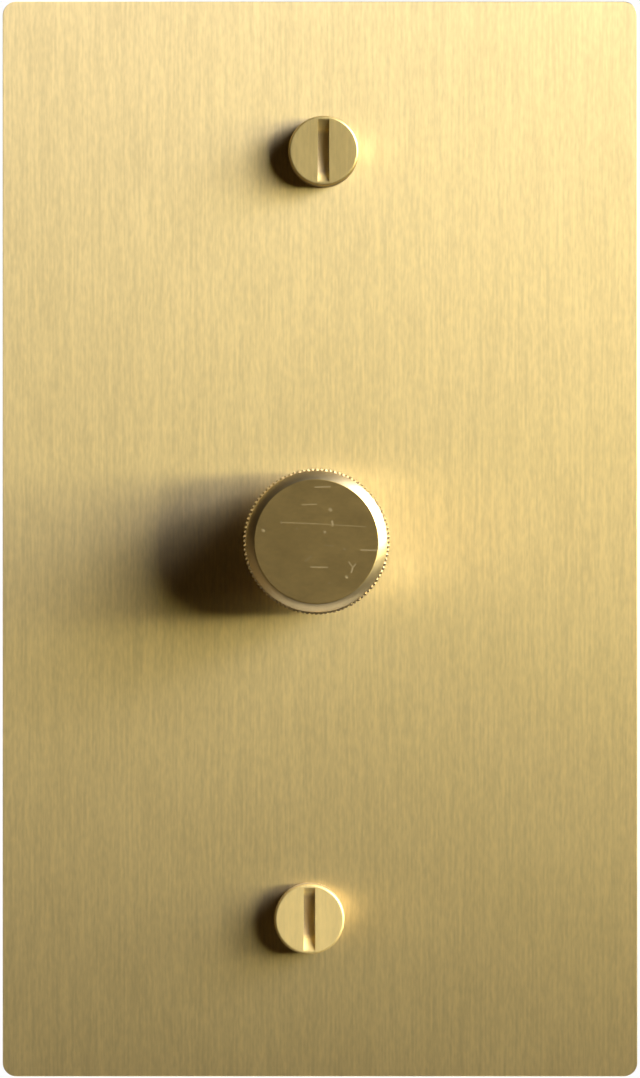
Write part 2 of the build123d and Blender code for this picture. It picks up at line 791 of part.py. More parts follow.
# Push switch: cover with the plunger's guide, body, plunger with its bridge contact, fixed contacts
with BuildPart() as switch_cover:
    with BuildSketch(wall_plane(cover_back)):
        Rectangle(switch_width, switch_height)
    slab(board_back, cover_back)
    with BuildSketch(wall_plane(cover_back)):
        Circle(plunger_diameter / 2 + plunger_guide_clearance)
    extrude(amount=cover_back - board_back, mode=Mode.SUBTRACT)
    with BuildSketch(wall_plane(cover_counterbore_floor)):
        Circle(board_hole_diameter / 2)
    extrude(amount=cover_counterbore_floor - board_back, mode=Mode.SUBTRACT)
export(switch_cover, "switch_cover")

fixed_post_radius = contact_pip_diameter / 2 - seat_clearance
with BuildPart() as switch_body:
    with BuildSketch(wall_plane(switch_back)):
        Rectangle(switch_width, switch_height)
    slab(cover_back, switch_back)
    fillet(switch_body.edges().filter_by(Axis.Y), switch_wall / 2)
    with BuildSketch(wall_plane(switch_floor)):
        Rectangle(switch_width - 2 * switch_wall, switch_height - 2 * switch_wall)
    extrude(amount=switch_floor - cover_back, mode=Mode.SUBTRACT)
    with BuildSketch(wall_plane(switch_back)):
        with Locations((-contact_offset, 0), (contact_offset, 0)):
            Circle(fixed_post_radius + seat_clearance)
    extrude(amount=switch_wall, mode=Mode.SUBTRACT)
export(switch_body, "switch_body")

with BuildPart() as switch_plunger:
    with BuildSketch(wall_plane(plunger_flange_front)):
        Circle(plunger_diameter / 2)
    slab(plunger_front, plunger_flange_front)
    chamfer(switch_plunger.faces().sort_by(Axis.Y)[0].edges(), plunger_guide_clearance)
    with BuildSketch(wall_plane(plunger_flange_back)):
        RectangleRounded(plunger_flange, plunger_flange, plunger_flange_thickness / 2)
    slab(plunger_flange_front, plunger_flange_back)
export(switch_plunger, "switch_plunger")

strip_width = 2 * contact_offset + contact_pip_diameter + 2 * contact_strip_margin
with BuildPart() as moving_contact:
    with BuildSketch(wall_plane(strip_back)):
        Rectangle(strip_width, contact_strip_height)
        Circle(spring_diameter / 2 + running_gap, mode=Mode.SUBTRACT)
    slab(plunger_flange_back, strip_back)
    with BuildSketch(wall_plane(pip_back)):
        with Locations((-contact_offset, 0), (contact_offset, 0)):
            Circle(contact_pip_diameter / 2)
    slab(strip_back, pip_back)
export(moving_contact, "moving_contact")

for side, x in (("left", -contact_offset), ("right", contact_offset)):
    with BuildPart() as fixed_contact:
        with BuildSketch(wall_plane(fixed_contact_front + contact_pip_height)):
            with Locations((x, 0)):
                Circle(fixed_contact_diameter / 2)
        slab(fixed_contact_front, fixed_contact_front + contact_pip_height)
        with BuildSketch(wall_plane(switch_back + contact_pip_height)):
            with Locations((x, 0)):
                Circle(fixed_post_radius)
        slab(fixed_contact_front + contact_pip_height, switch_back + contact_pip_height)
    export(fixed_contact, f"{side}_fixed_contact")

spring_start = plunger_flange_back + spring_end_gap + spring_wire / 2
spring_end = switch_floor - spring_end_gap - spring_wire / 2
coil_radius = (spring_diameter - spring_wire) / 2
with BuildPart() as return_spring:
    with BuildLine() as coil:
        Helix(
            (spring_end - spring_start) / spring_turns, spring_end - spring_start, coil_radius,
            center=(0, spring_start, 0), direction=into_wall,
        )
    with BuildSketch(Plane(origin=coil.line @ 0, z_dir=coil.line % 0)):
        Circle(spring_wire / 2)
    sweep(path=coil.line, is_frenet=True)
export(return_spring, "return_spring")

# Terminals on the board and the earth terminal on the plate
screw_tip = wire_bore_depth + wire_bore_diameter / 2 + running_gap / 2
for name, (x, z) in zip(("line", "load", "two_way"), terminal_places):
    export(wire_terminal(x, z), f"{name}_terminal")
    terminal_screw = clamp_screw(
        x, z, screw_tip, terminal_back + running_gap,
        clamp_screw_diameter, clamp_screw_head, clamp_screw_head_height,
    )
    export(terminal_screw, f"{name}_clamp_screw")

earth_back = pocket_floor + earth_length
earth_bore_depth = pocket_floor + earth_bore_height
with BuildPart() as earth_terminal:
    with BuildSketch(wall_plane(earth_back)):
        with Locations((0, earth_z)):
            Circle(earth_diameter / 2)
    slab(pocket_floor, earth_back)
    with BuildSketch(wall_plane(pocket_floor)):
        with Locations((0, earth_z)):
            Circle(earth_spigot_diameter / 2)
    extrude(amount=earth_spigot_length - seat_clearance)
    with BuildSketch(Plane.YZ.offset(-earth_diameter)):
        with Locations((earth_bore_depth, earth_z)):
            Circle(earth_bore_diameter / 2)
    extrude(amount=2 * earth_diameter, mode=Mode.SUBTRACT)
    with BuildSketch(wall_plane(earth_back)):
        with Locations((0, earth_z)):
            Circle(earth_screw_diameter / 2 + seat_clearance)
    extrude(amount=earth_back - earth_bore_depth, mode=Mode.SUBTRACT)
export(earth_terminal, "earth_terminal")

earth_clamp_screw = clamp_screw(
    0, earth_z, earth_bore_depth + earth_bore_diameter / 2 + running_gap, earth_back + running_gap,
    earth_screw_diameter, earth_screw_head, earth_screw_head_height,
)
export(earth_clamp_screw, "earth_clamp_screw")

# Choke: wound ring core, its turns parted by grooves
core_outer = choke_diameter / 2 - winding_thickness
core_inner = choke_bore / 2 + winding_thickness
core_front = board_back + winding_thickness
core_back = board_back + choke_height - winding_thickness
with BuildPart() as inductor_core:
    with BuildSketch(wall_plane(core_back)):
        with Locations((choke_x, choke_z)):
            Circle(core_outer)
            Circle(core_inner, mode=Mode.SUBTRACT)
    slab(core_front, core_back)
export(inductor_core, "inductor_core")

turn_gap = pi * choke_diameter / winding_turns / 3
with BuildPart() as inductor_winding:
    with BuildSketch(wall_plane(board_back + choke_height)):
        with Locations((choke_x, choke_z)):
            Circle(choke_diameter / 2)
            Circle(choke_bore / 2, mode=Mode.SUBTRACT)
            with PolarLocations(choke_diameter / 2, winding_turns):
                Rectangle(winding_thickness, turn_gap, mode=Mode.SUBTRACT)
    slab(board_back, board_back + choke_height)
    with BuildSketch(wall_plane(core_back)):
        with Locations((choke_x, choke_z)):
            Circle(core_outer)
            Circle(core_inner, mode=Mode.SUBTRACT)
    extrude(amount=core_back - core_front, mode=Mode.SUBTRACT)
export(inductor_winding, "inductor_winding")

# Capacitors, fuse, resistors and diac
for name, size, place in (
    ("film_capacitor", film_capacitor_size, film_capacitor_place),
    ("timing_capacitor", timing_capacitor_size, timing_capacitor_place),
):
    width, height, depth = size
    with BuildPart() as capacitor:
        with BuildSketch(wall_plane(board_back + depth)):
            with Locations(place):
                Rectangle(width, height)
        slab(board_back, board_back + depth)
        fillet(capacitor.edges() - capacitor.faces().sort_by(Axis.Y)[0].edges(), height / 10)
    export(capacitor, name)

fuse_level = board_back + fuse_diameter / 2
with BuildPart() as fuse:
    with BuildSketch(Plane.YZ.offset(-fuse_length / 2)):
        with Locations((fuse_level, fuse_z)):
            Circle(fuse_diameter / 2)
    extrude(amount=fuse_length)
    with BuildSketch(Plane.YZ.offset(-fuse_length / 2 + fuse_cap_length)):
        with Locations((fuse_level, fuse_z)):
            Circle(fuse_diameter / 2)
            Circle(fuse_diameter / 2 - fuse_cap_wall, mode=Mode.SUBTRACT)
    extrude(amount=fuse_length - 2 * fuse_cap_length, mode=Mode.SUBTRACT)
export(fuse, "fuse")

for number, (x, z) in enumerate(axial_places[:3], start=1):
    resistor = axial_part(x, z, resistor_diameter, resistor_length)
    export(resistor, f"resistor_{number}")
diac = axial_part(*axial_places[3], diac_diameter, diac_length)
export(diac, "diac")

# Trimmer: a body with a screwdriver slotted rotor that faces the case's back
trimmer_back = board_back + trimmer_height
with BuildPart() as trimmer_body:
    with BuildSketch(wall_plane(trimmer_back)):
        with Locations((trimmer_x, 0)):
            Rectangle(trimmer_size, trimmer_size)
    slab(board_back, trimmer_back)
    fillet(trimmer_body.edges().filter_by(Axis.Y), trimmer_size / 12)
    with BuildSketch(wall_plane(trimmer_back)):
        with Locations((trimmer_x, 0)):
            Circle(trimmer_rotor_diameter / 2 + running_clearance)
    extrude(amount=trimmer_rotor_depth + running_clearance, mode=Mode.SUBTRACT)
export(trimmer_body, "trimmer_body")

with BuildPart() as trimmer_rotor:
    with BuildSketch(wall_plane(trimmer_back + trimmer_rotor_proud)):
        with Locations((trimmer_x, 0)):
            Circle(trimmer_rotor_diameter / 2)
    extrude(amount=trimmer_rotor_proud + trimmer_rotor_depth)
    with BuildSketch(wall_plane(trimmer_back + trimmer_rotor_proud)):
        with Locations((trimmer_x, 0)):
            Rectangle(trimmer_slot_length, trimmer_slot_width)
    extrude(amount=trimmer_rotor_proud, mode=Mode.SUBTRACT)
export(trimmer_rotor, "trimmer_rotor")

# Triac, laid on its side and riveted flat on the heat sink plate, its legs bent back through the board
leg_front = heat_sink_back + triac_body_thickness / 2
with BuildPart() as triac:
    with BuildSketch(wall_plane(heat_sink_back + triac_tab_thickness)):
        with Locations((triac_body_right, triac_z)):
            Rectangle(triac_body_right - triac_tab_left, triac_width, align=(Align.MAX, Align.CENTER))
        with Locations((triac_hole_x, triac_z)):
            Circle(triac_hole_diameter / 2, mode=Mode.SUBTRACT)
    slab(heat_sink_back, heat_sink_back + triac_tab_thickness)
    with BuildSketch(wall_plane(heat_sink_back + triac_body_thickness)):
        with Locations((triac_body_right, triac_z)):
            Rectangle(triac_body_height, triac_width, align=(Align.MAX, Align.CENTER))
    slab(heat_sink_back, heat_sink_back + triac_body_thickness)
    with BuildSketch(wall_plane(leg_front + triac_leg_thickness)):
        with Locations((triac_body_right, triac_z)):
            with GridLocations(1, triac_leg_pitch, 1, 3):
                Rectangle(
                    triac_leg_x - triac_body_right + triac_leg_thickness / 2,
                    triac_leg_width,
                    align=(Align.MIN, Align.CENTER),
                )
    slab(leg_front, leg_front + triac_leg_thickness)
    with BuildSketch(wall_plane(board_back + triac_leg_thickness)):
        with Locations((triac_leg_x, triac_z)):
            with GridLocations(1, triac_leg_pitch, 1, 3):
                Rectangle(triac_leg_thickness, triac_leg_width)
    slab(leg_front, board_back + triac_leg_thickness)
export(triac, "triac")

rivet_head_front = heat_sink_back + triac_tab_thickness
with BuildPart() as triac_rivet:
    with BuildSketch(wall_plane(rivet_head_front)):
        with Locations((triac_hole_x, triac_z)):
            Circle(rivet_diameter / 2)
    slab(pocket_floor, rivet_head_front)
    with BuildSketch(wall_plane(rivet_head_front + rivet_head_height)):
        with Locations((triac_hole_x, triac_z)):
            Circle(rivet_head_diameter / 2)
    slab(rivet_head_front, rivet_head_front + rivet_head_height)
    fillet(triac_rivet.edges().filter_by(GeomType.CIRCLE).sort_by(Axis.Y)[-1], rivet_head_height / 2)
export(triac_rivet, "triac_rivet")
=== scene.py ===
import json
import math

import bmesh
import bpy
from mathutils import Matrix, Vector


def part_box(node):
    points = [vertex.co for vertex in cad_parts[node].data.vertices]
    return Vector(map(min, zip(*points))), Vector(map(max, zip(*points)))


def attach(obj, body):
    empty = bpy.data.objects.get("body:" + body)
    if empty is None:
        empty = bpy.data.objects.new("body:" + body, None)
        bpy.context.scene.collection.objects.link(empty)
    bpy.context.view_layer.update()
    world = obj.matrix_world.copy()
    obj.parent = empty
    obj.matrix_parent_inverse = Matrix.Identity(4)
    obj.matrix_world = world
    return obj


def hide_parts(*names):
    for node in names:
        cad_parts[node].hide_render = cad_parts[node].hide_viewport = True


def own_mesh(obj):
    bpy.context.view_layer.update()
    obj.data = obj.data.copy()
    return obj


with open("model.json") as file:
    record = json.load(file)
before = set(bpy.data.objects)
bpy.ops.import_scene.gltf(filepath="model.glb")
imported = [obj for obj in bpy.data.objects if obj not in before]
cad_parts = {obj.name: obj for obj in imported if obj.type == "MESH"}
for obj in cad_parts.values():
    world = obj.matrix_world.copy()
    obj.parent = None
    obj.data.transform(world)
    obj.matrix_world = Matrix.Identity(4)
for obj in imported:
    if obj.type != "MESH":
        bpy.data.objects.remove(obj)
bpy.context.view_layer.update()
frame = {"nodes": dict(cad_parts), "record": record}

# The knob's axis is Y, into the wall; X is to the right and Z up. All lengths are in metres.
MM = 0.001


def corners(node):
    """A node's lowest and highest corner and its middle."""
    low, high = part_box(node)
    return low, high, (low + high) / 2


plate_low, _, plate_middle = corners("face_plate")
knob_low, knob_high, _ = corners("knob")
screw_low, _, _ = corners("upper_screw")


# Node tools


class Nodes:
    """A material's or world's node tree, with short calls to add and join nodes."""

    def __init__(self, tree):
        self.tree = tree

    def add(self, kind, inputs=(), **settings):
        node = self.tree.nodes.new("ShaderNode" + kind)
        for key, value in settings.items():
            setattr(node, key, value)
        for key, value in dict(inputs).items():
            self.join(value, node.inputs[key])
        return node

    def join(self, value, socket):
        if isinstance(value, bpy.types.NodeSocket):
            self.tree.links.new(value, socket)
        else:
            socket.default_value = value

    def math(self, operation, *values, clamp=False):
        node = self.add("Math", operation=operation, use_clamp=clamp)
        for index, value in enumerate(values):
            self.join(value, node.inputs[index])
        return node.outputs[0]

    def vector(self, operation, *values):
        node = self.add("VectorMath", operation=operation)
        for index, value in enumerate(values):
            self.join(value, node.inputs[index])
        return node

    def stretched(self, scale):
        """Object coordinates, scaled by axis, in texture units per metre."""
        place = self.add("TexCoord").outputs["Object"]
        return self.add("Mapping", {"Vector": place, "Scale": scale}).outputs[0]

    def noise(self, vector, scale=1.0, detail=3.0, roughness=0.5):
        inputs = {"Vector": vector, "Scale": scale, "Detail": detail, "Roughness": roughness}
        return self.add("TexNoise", inputs).outputs[0]

    def ramp(self, value, low, high, out_low=0.0, out_high=1.0):
        inputs = {"Value": value, "From Min": low, "From Max": high, "To Min": out_low, "To Max": out_high}
        return self.add("MapRange", inputs).outputs[0]

    def blend(self, factor, first, second):
        node = self.add("Mix", data_type="RGBA")
        self.join(factor, node.inputs["Factor"])
        self.join(first, node.inputs["A"])
        self.join(second, node.inputs["B"])
        return node.outputs["Result"]

    def bump(self, height, distance, strength=1.0):
        return self.add("Bump", {"Height": height, "Distance": distance, "Strength": strength}).outputs[0]


def rgb(red, green, blue):
    return (red, green, blue, 1.0)


def scaled(colour, factor):
    return rgb(*(channel * factor for channel in colour[:3]))


def new_material(name):
    material = bpy.data.materials.new(name)
    material.use_nodes = True
    material.node_tree.nodes.clear()
    nodes = Nodes(material.node_tree)
    shader = nodes.add("BsdfPrincipled")
    output = nodes.add("OutputMaterial")
    nodes.join(shader.outputs[0], output.inputs["Surface"])
    return material, nodes, shader


def fill(nodes, shader, **values):
    """Set or join the shader's sockets, named with underscores."""
    for key, value in values.items():
        nodes.join(value, shader.inputs[key.replace("_", " ").title().replace("Ior", "IOR")])


# Materials

BRASS = rgb(0.88, 0.71, 0.372)
KNOB_FACE_BRASS = rgb(0.88, 0.64, 0.23)
SCREW_BRASS = rgb(0.9, 0.7, 0.28)
# Painted light: a lighter copy of the screw brass, for the lower screw.
PAINTED_LIGHT_SCREW_BRASS = rgb(0.95, 0.76, 0.33)
SCRATCHED_BRASS = rgb(0.92, 0.73, 0.38)
# Painted shade: darker brass on the knurl behind the chamfer, which dims its glints.
KNURL_PAINTED_SHADE = rgb(0.62, 0.51, 0.33)
# Painted shade: darker brass on the screw heads' sides, which dims the light they throw onto the plate.
HEAD_SIDE_PAINTED_SHADE = rgb(0.56, 0.44, 0.24)

BRUSH_DEPTH = 0.005 * MM
METAL_GRAIN_DEPTH = 0.002 * MM
MOULD_TEXTURE_DEPTH = 0.012 * MM

# Scales of the textures along X, Y and Z, in units per metre: brush lines run along Z.
SHORT_LINES = (3400, 400, 850)
LONG_LINES = (3700, 400, 130)
STREAKS = (1000, 200, 90)
TURNED_GRAIN = (1400, 1400, 2600)
TURNED_PATCHES = (300, 300, 500)
METAL_GRAIN = (5000, 5000, 5000)
METAL_CLOUD = (400, 400, 400)
MOULD_TEXTURE = (2600, 2600, 2600)
PLASTIC_CLOUD = (120, 120, 120)

# The part of a noise's range that a tone or a roughness spreads over.
LINE_RANGE = (0.38, 0.62)
TONE_RANGE = (0.35, 0.65)
ROUGH_RANGE = (0.3, 0.7)

# The knob's chamfer and the screws' faces keep their brass; behind them it is darker, painted shade that
# dims the knurl's glints and the light the heads' sides throw onto the plate.
CHAMFER_DEPTH = 0.84 * MM
HEAD_SHADE_DEPTH = 0.35 * MM
PAINTED_SHADE_FADE = 0.15 * MM

# The marks on the knob's face are rougher than it, and end just behind it.
MARK_ROUGHNESS = 0.52
FACE_END = (0.01 * MM, 0.04 * MM)

# Scratches and specks on the knob's face: two ends (x, z) from its axis, width and strength, in mm.
FACE_MARKS = (
    ((-3.74, 2.03), (0.2, 1.88), 0.1, 0.6),
    ((0.2, 1.88), (5.24, 1.57), 0.09, 0.45),
    ((1.66, 2.12), (1.72, 1.75), 0.2, 0.9),
    ((-3.74, 2.1), (-3.7, 1.95), 0.14, 0.6),
    ((1.46, 3.4), (1.52, 3.34), 0.25, 0.9),
    ((-0.13, 5.78), (1.44, 5.82), 0.12, 0.8),
    ((-1.5, 3.9), (0.0, 3.97), 0.12, 0.6),
    ((-5.66, 1.19), (-5.6, 1.15), 0.25, 0.9),
    ((0.87, 1.01), (0.92, 0.98), 0.22, 0.8),
    ((-2.09, 1.38), (-2.04, 1.35), 0.15, 0.4),
    ((4.78, -0.89), (6.5, -0.93), 0.14, 0.8),
    ((3.44, -2.19), (3.85, -2.74), 0.12, 0.7),
    ((4.13, -2.42), (3.85, -2.74), 0.14, 0.8),
    ((3.85, -2.74), (3.71, -3.25), 0.14, 1.0),
    ((3.19, -3.76), (3.23, -3.79), 0.22, 1.0),
    ((2.95, -0.8), (3.0, -0.82), 0.18, 0.4),
    ((-0.59, -2.69), (1.17, -2.74), 0.12, 0.8),
    ((-1.15, -2.05), (-0.6, -1.6), 0.2, 0.25),
    ((0.89, -0.38), (1.8, -0.47), 0.12, 0.25),
    ((1.33, -4.41), (1.38, -4.44), 0.15, 0.35),
)


def painted_shade_behind(nodes, paint, shade_colour, start):
    """The paint in front of a depth along Y, and a darker colour behind it as painted shade."""
    place = nodes.add("TexCoord").outputs["Object"]
    depth = nodes.add("SeparateXYZ", {"Vector": place}).outputs["Y"]
    # Painted shade: the colour behind the depth is darker brass, standing in for less light.
    return nodes.blend(nodes.ramp(depth, start, start + PAINTED_SHADE_FADE), paint, shade_colour)


def brushed_brass(name, colour, roughness, anisotropy, contrast, shade_from=None):
    """Brass with brush lines along Z, which spread highlights sideways, with painted shade behind the given
    depth.
    """
    material, nodes, shader = new_material(name)
    short = nodes.noise(nodes.stretched(SHORT_LINES), detail=2.0)
    long = nodes.noise(nodes.stretched(LONG_LINES), detail=2.0)
    streaks = nodes.noise(nodes.stretched(STREAKS), detail=3.0, roughness=0.6)
    lines = nodes.math("MULTIPLY_ADD", short, 0.5, nodes.math("MULTIPLY", long, 0.5))
    mixed = nodes.math("MULTIPLY_ADD", lines, 0.8, nodes.math("MULTIPLY", streaks, 0.2))
    tone = nodes.ramp(mixed, *LINE_RANGE)
    paint = nodes.blend(tone, scaled(colour, 1 - contrast), scaled(colour, 1 + contrast))
    if shade_from is not None:
        # Painted shade on the screw heads' sides, behind the given depth.
        paint = painted_shade_behind(nodes, paint, HEAD_SIDE_PAINTED_SHADE, shade_from)
    rough = nodes.ramp(mixed, *LINE_RANGE, roughness - 0.015, roughness + 0.015)
    fill(nodes, shader, base_color=paint, metallic=1.0, roughness=rough, anisotropic=anisotropy)
    nodes.join(nodes.bump(lines, BRUSH_DEPTH), shader.inputs["Normal"])
    return material


def turned_brass(name, colour, roughness, marks=()):
    """Machined brass with a fine grain and cloudy patches; with marks, also the marks on the knob's face
    and painted shade on its knurl.
    """
    material, nodes, shader = new_material(name)
    grain = nodes.noise(nodes.stretched(TURNED_GRAIN), detail=4.0)
    patches = nodes.noise(nodes.stretched(TURNED_PATCHES), detail=3.0)
    mixed = nodes.math("MULTIPLY_ADD", grain, 0.5, nodes.math("MULTIPLY", patches, 0.5))
    paint = nodes.blend(nodes.ramp(mixed, *TONE_RANGE), scaled(colour, 0.95), scaled(colour, 1.04))
    rough = nodes.ramp(mixed, *ROUGH_RANGE, roughness - 0.02, roughness + 0.02)
    if marks:
        face, mask = face_marks(nodes, marks)
        tone = nodes.ramp(mixed, *TONE_RANGE)
        worn = nodes.blend(tone, scaled(KNOB_FACE_BRASS, 0.95), scaled(KNOB_FACE_BRASS, 1.05))
        # Painted shade on the knurl behind the chamfer.
        paint = painted_shade_behind(nodes, paint, KNURL_PAINTED_SHADE, knob_low.y + CHAMFER_DEPTH)
        paint = nodes.blend(mask, nodes.blend(face, paint, worn), SCRATCHED_BRASS)
        rough = nodes.math("MULTIPLY_ADD", mask, MARK_ROUGHNESS - roughness, rough)
    fill(nodes, shader, base_color=paint, metallic=1.0, roughness=rough)
    nodes.join(nodes.bump(grain, METAL_GRAIN_DEPTH, 0.4), shader.inputs["Normal"])
    return material


def face_marks(nodes, marks):
    """Two masks: the knob's flat face, and the lines on it."""
    place = nodes.add("TexCoord").outputs["Object"]
    flat = nodes.vector("MULTIPLY", place, (1, 0, 1)).outputs[0]
    mask = 0.0
    for start, end, width, strength in marks:
        first = Vector((start[0], 0, start[1])) * MM
        along = Vector((end[0], 0, end[1])) * MM - first
        offset = nodes.vector("SUBTRACT", flat, first).outputs[0]
        reach = nodes.vector("DOT_PRODUCT", offset, along / along.length_squared).outputs["Value"]
        share = nodes.math("ADD", reach, 0.0, clamp=True)
        nearest = nodes.add("VectorMath", {"Vector": along, "Scale": share}, operation="SCALE").outputs[0]
        gap = nodes.vector("DISTANCE", offset, nearest).outputs["Value"]
        line = nodes.ramp(gap, 0.2 * width * MM, width * MM, strength, 0.0)
        mask = nodes.math("MAXIMUM", mask, line)
    depth = nodes.add("SeparateXYZ", {"Vector": place}).outputs["Y"]
    start, end = (knob_low.y + part for part in FACE_END)
    face = nodes.ramp(depth, start, end, 1.0, 0.0)
    return face, nodes.math("MULTIPLY", mask, face)


def plain_metal(name, colour, roughness):
    """Plated or milled metal with a fine, cloudy surface."""
    material, nodes, shader = new_material(name)
    cloud = nodes.noise(nodes.stretched(METAL_CLOUD), detail=5.0, roughness=0.65)
    grain = nodes.noise(nodes.stretched(METAL_GRAIN), detail=2.0)
    paint = nodes.blend(nodes.ramp(cloud, *TONE_RANGE), scaled(colour, 0.86), scaled(colour, 1.06))
    rough = nodes.ramp(cloud, *ROUGH_RANGE, roughness - 0.06, roughness + 0.08)
    fill(nodes, shader, base_color=paint, metallic=1.0, roughness=rough)
    nodes.join(nodes.bump(grain, METAL_GRAIN_DEPTH, 0.5), shader.inputs["Normal"])
    return material


def moulded_plastic(name, colour, roughness):
    """Moulded plastic with a fine spark-eroded texture."""
    material, nodes, shader = new_material(name)
    texture = nodes.noise(nodes.stretched(MOULD_TEXTURE), detail=3.0, roughness=0.6)
    cloud = nodes.noise(nodes.stretched(PLASTIC_CLOUD), detail=3.0)
    paint = nodes.blend(nodes.ramp(cloud, *TONE_RANGE), scaled(colour, 0.9), scaled(colour, 1.1))
    rough = nodes.ramp(cloud, *ROUGH_RANGE, roughness - 0.05, roughness + 0.05)
    fill(nodes, shader, base_color=paint, roughness=rough)
    nodes.join(nodes.bump(texture, MOULD_TEXTURE_DEPTH, 0.6), shader.inputs["Normal"])
    return material


# Where the painted shade on the screw heads' sides starts.
head_shade_from = screw_low.y + HEAD_SHADE_DEPTH

MATERIALS = {
    "plate_brass": brushed_brass("plate_brass", BRASS, 0.5, 0.78, 0.08),
    "knob_brass": turned_brass("knob_brass", BRASS, 0.4, FACE_MARKS),
    "screw_brass": brushed_brass("screw_brass", SCREW_BRASS, 0.48, 0.3, 0.05, head_shade_from),
    "terminal_brass": turned_brass("terminal_brass", rgb(0.82, 0.62, 0.3), 0.28),
    "plated_steel": plain_metal("plated_steel", rgb(0.66, 0.66, 0.64), 0.32),
    "aluminium_plate": plain_metal("aluminium_plate", rgb(0.75, 0.76, 0.77), 0.38),
    "case_plastic": moulded_plastic("case_plastic", rgb(0.035, 0.035, 0.038), 0.45),
    "switch_plastic": moulded_plastic("switch_plastic", rgb(0.72, 0.69, 0.6), 0.4),
    "nylon": moulded_plastic("nylon", rgb(0.82, 0.81, 0.75), 0.38),
    "board_laminate": moulded_plastic("board_laminate", rgb(0.03, 0.16, 0.05), 0.3),
    "phenolic": moulded_plastic("phenolic", rgb(0.18, 0.08, 0.035), 0.45),
    "capacitor_yellow": moulded_plastic("capacitor_yellow", rgb(0.76, 0.42, 0.03), 0.3),
    "epoxy_black": moulded_plastic("epoxy_black", rgb(0.02, 0.02, 0.02), 0.35),
    "resistor_coat": moulded_plastic("resistor_coat", rgb(0.52, 0.37, 0.2), 0.35),
    "ferrite": moulded_plastic("ferrite", rgb(0.06, 0.06, 0.06), 0.5),
    "enamelled_copper": plain_metal("enamelled_copper", rgb(0.5, 0.16, 0.05), 0.25),
    "contact_metal": plain_metal("contact_metal", rgb(0.66, 0.4, 0.2), 0.3),
    "fuse_ceramic": moulded_plastic("fuse_ceramic", rgb(0.75, 0.73, 0.67), 0.2),
    "spring_steel": plain_metal("spring_steel", rgb(0.45, 0.45, 0.46), 0.3),
}

for subpart in frame["record"]["subparts"]:
    shown = frame["nodes"][subpart["node"]]
    shown.data.materials.clear()
    shown.data.materials.append(MATERIALS[subpart["material_slot"]])


# Mesh tools

CAP_RING = 0.97
FRONT_MATCH = 0.99995
KNOB_SMOOTH_DEGREES = 20
SCREW_SMOOTH_DEGREES = 30
SLOT_BEVEL_DEGREES = 40


def new_piece(name, mesh, body, slot_name, *nodes, material=None):
    """An object that rides on a body and stands for CAD nodes, in the slot's material unless given one."""
    piece = bpy.data.objects.new(name, mesh)
    bpy.context.scene.collection.objects.link(piece)
    mesh.materials.append(material or MATERIALS[slot_name])
    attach(piece, body)
    if nodes:
        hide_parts(*nodes)
    return piece


def node_mesh(node):
    """A copy of a CAD node's mesh, without its material."""
    mesh = frame["nodes"][node].data.copy()
    mesh.materials.clear()
    return mesh


def grid_mesh(name, rings):
    """A closed skin through rings of points, each as long as the last, with a flat cap at both ends."""
    shape = bmesh.new()
    made = [[shape.verts.new(point) for point in ring] for ring in rings]
    for lower, upper in zip(made, made[1:]):
        count = len(lower)
        for index in range(count):
            after = (index + 1) % count
            shape.faces.new((lower[index], lower[after], upper[after], upper[index]))
    for end in (made[0], made[-1]):
        middle = sum((vertex.co for vertex in end), Vector()) / len(end)
        centre = shape.verts.new(middle)
        inner = [shape.verts.new(middle.lerp(vertex.co, CAP_RING)) for vertex in end]
        for index in range(len(end)):
            after = (index + 1) % len(end)
            shape.faces.new((end[index], end[after], inner[after], inner[index]))
            shape.faces.new((inner[index], inner[after], centre))
    bmesh.ops.recalc_face_normals(shape, faces=shape.faces)
    mesh = bpy.data.meshes.new(name)
    shape.to_mesh(mesh)
    shape.free()
    return mesh


def ring(radius, depth, count, middle=(0.0, 0.0)):
    """A ring of points about an axis along Y. The radius may be a function of the angle."""
    points = []
    for index in range(count):
        angle = 2 * math.pi * index / count
        reach = radius(angle) if callable(radius) else radius
        points.append((middle[0] + reach * math.cos(angle), depth, middle[1] + reach * math.sin(angle)))
    return points


def cut_away(piece, cutter_mesh):
    """Subtract a closed mesh from a piece and keep only the result."""
    cutter = bpy.data.objects.new("cutter", cutter_mesh)
    bpy.context.scene.collection.objects.link(cutter)
    modifier = piece.modifiers.new("cut", "BOOLEAN")
    modifier.operation = "DIFFERENCE"
    modifier.solver = "EXACT"
    modifier.object = cutter
    apply_modifiers(piece)
    bpy.data.objects.remove(cutter)


def apply_modifiers(piece):
    graph = bpy.context.evaluated_depsgraph_get()
    graph.update()
    made = bpy.data.meshes.new_from_object(piece.evaluated_get(graph))
    made.name = piece.name
    piece.modifiers.clear()
    piece.data = made


def smooth_by_angle(piece, degrees):
    """Smooth shading with sharp edges kept where faces meet at more than this angle."""
    mesh = piece.data
    mesh.polygons.foreach_set("use_smooth", [True] * len(mesh.polygons))
    mesh.set_sharp_from_angle(angle=math.radians(degrees))


def flatten_front(piece, tilt=0.0):
    """Flat shading on the faces that look straight out of the plate, or lean by the tilt."""
    front = Vector((0, -math.cos(tilt), math.sin(tilt)))
    for face in piece.data.polygons:
        if face.normal.dot(front) > FRONT_MATCH:
            face.use_smooth = False


# Knob

